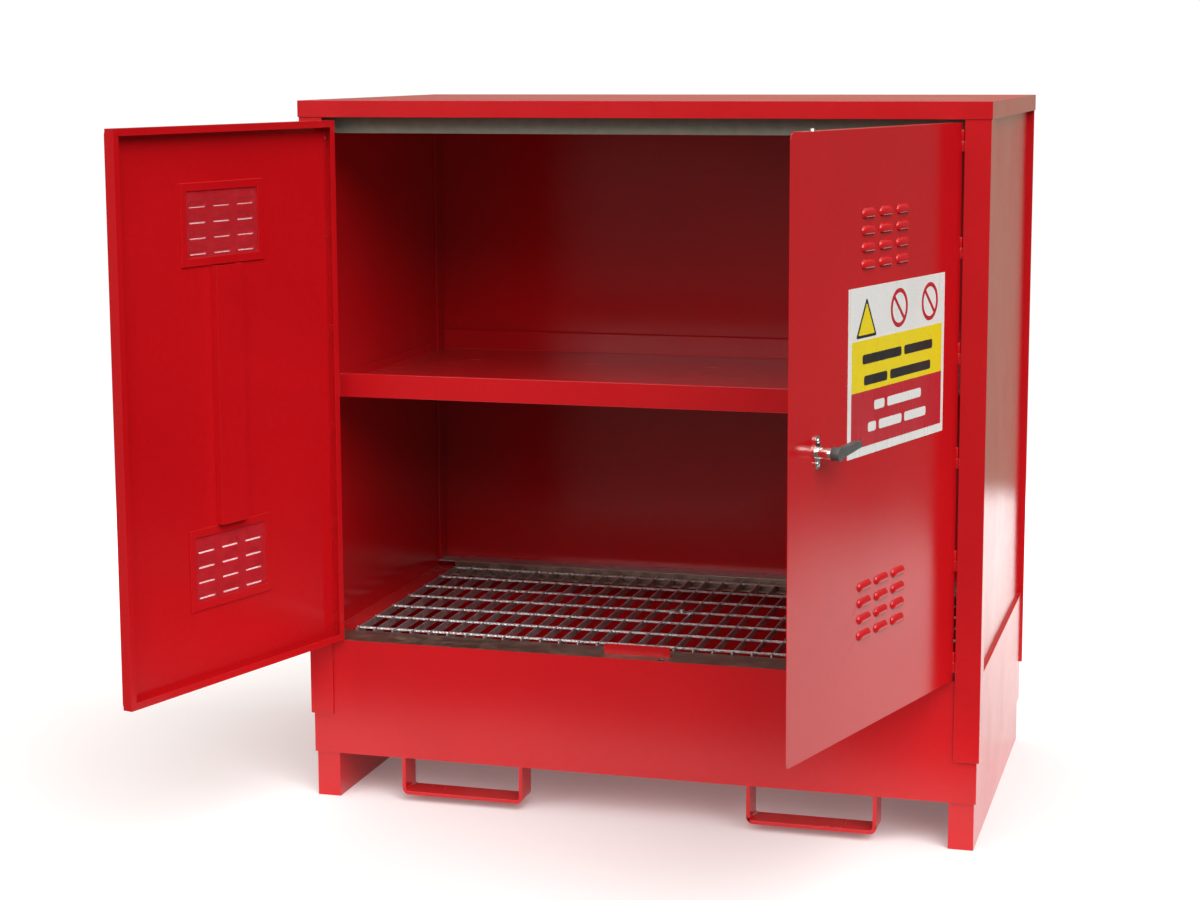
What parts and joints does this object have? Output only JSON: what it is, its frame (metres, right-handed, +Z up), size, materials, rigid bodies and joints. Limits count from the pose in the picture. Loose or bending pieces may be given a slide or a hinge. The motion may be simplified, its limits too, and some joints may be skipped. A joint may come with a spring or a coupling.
{
  "type": "flammable liquid storage cabinet",
  "caption": "Steel storage cabinet with two louvred doors, an inner tray shelf and a bunded sump base with grating, runners and fork loops.",
  "frame": {"origin": "on the floor, at the middle of the outline that the cabinet and its two open doors cover at rest", "axes": "+X to the right seen from the front, +Y into the depth, +Z up"},
  "size_m": [1.5188, 1.4782, 1.461],
  "materials": {
    "red_enamel": "gloss",
    "galvanised": "galvanised",
    "zinc_steel": "zinc plated",
    "chrome": "polished",
    "lever_grey": "satin",
    "rail_grey": "matt",
    "sign_face": "semi-gloss",
    "vent_gauze": "fine woven gauze"
  },
  "bodies": {
    "cabinet": {"sump_tank": "red_enamel", "left_runner": "red_enamel", "right_runner": "red_enamel", "left_fork_loops": "red_enamel", "right_fork_loops": "red_enamel", "front_ledge": "galvanised", "rear_ledge": "galvanised", "ledge_webs": "galvanised", "grating_seats": "galvanised", "left_front_post": "red_enamel", "right_front_post": "red_enamel", "left_rear_post": "red_enamel", "right_rear_post": "red_enamel", "left_side_panel": "red_enamel", "right_side_panel": "red_enamel", "back_panel": "red_enamel", "roof_lid": "red_enamel", "header_rail": "rail_grey", "header_strip": "rail_grey", "door_stop_tab": "red_enamel", "shelf_tray": "red_enamel", "left_shelf_bearer": "red_enamel", "right_shelf_bearer": "red_enamel", "left_hinge_sockets": "red_enamel", "right_hinge_sockets": "red_enamel", "left_hinge_pins": "zinc_steel", "right_hinge_pins": "zinc_steel"},
    "grating": {"grating_bars": "galvanised", "grating_cross_rods": "galvanised", "grating_clip": "galvanised"},
    "left_door": {"left_door_pan": "red_enamel", "left_door_barrels": "red_enamel", "left_door_stiffener": "red_enamel", "left_vent_frames": "red_enamel", "left_vent_mesh": "vent_gauze"},
    "right_door": {"right_door_pan": "red_enamel", "right_door_barrels": "red_enamel", "right_door_stiffener": "red_enamel", "right_vent_frames": "red_enamel", "right_vent_mesh": "vent_gauze", "warning_sign": "sign_face", "rod_guides": "red_enamel", "handle_escutcheon": "chrome", "escutcheon_screws": "chrome"},
    "handle": {"handle_spindle": "chrome", "handle_lever": "lever_grey", "lock_cam": "zinc_steel"},
    "upper_rod": {"upper_lock_rod": "zinc_steel"},
    "lower_rod": {"lower_lock_rod": "zinc_steel"}
  },
  "joints": [
    {"name": "left_door_hinge", "type": "hinge", "parent": "cabinet", "child": "left_door", "pos_m": [-0.5885, -0.078, 0.882], "axis": [0, 0, -1], "range_deg": [-105.7, 14.3]},
    {"name": "right_door_hinge", "type": "hinge", "parent": "cabinet", "child": "right_door", "pos_m": [0.7025, -0.078, 0.882], "axis": [0, 0, 1], "range_deg": [-73.4, 46.6]},
    {"name": "handle_turn", "type": "hinge", "parent": "right_door", "child": "handle", "pos_m": [0.53431, -0.64216, 0.8768], "axis": [-0.9583, 0.2857, 0], "range_deg": [0, 95]},
    {"name": "upper_rod_slide", "type": "slide", "parent": "right_door", "child": "upper_rod", "axis": [0, 0, 1], "range_m": [0, 0.01775]},
    {"name": "lower_rod_slide", "type": "slide", "parent": "right_door", "child": "lower_rod", "axis": [0, 0, -1], "range_m": [0, 0.01775]},
    {"name": "grating_lift", "type": "slide", "parent": "cabinet", "child": "grating", "axis": [0, 0, 1], "range_m": [0, 0.12]}
  ],
  "couplings": [
    {"joint": "upper_rod_slide", "follows": "handle_turn", "m_per_rad": 0.010672},
    {"joint": "lower_rod_slide", "follows": "handle_turn", "m_per_rad": 0.010672}
  ]
}
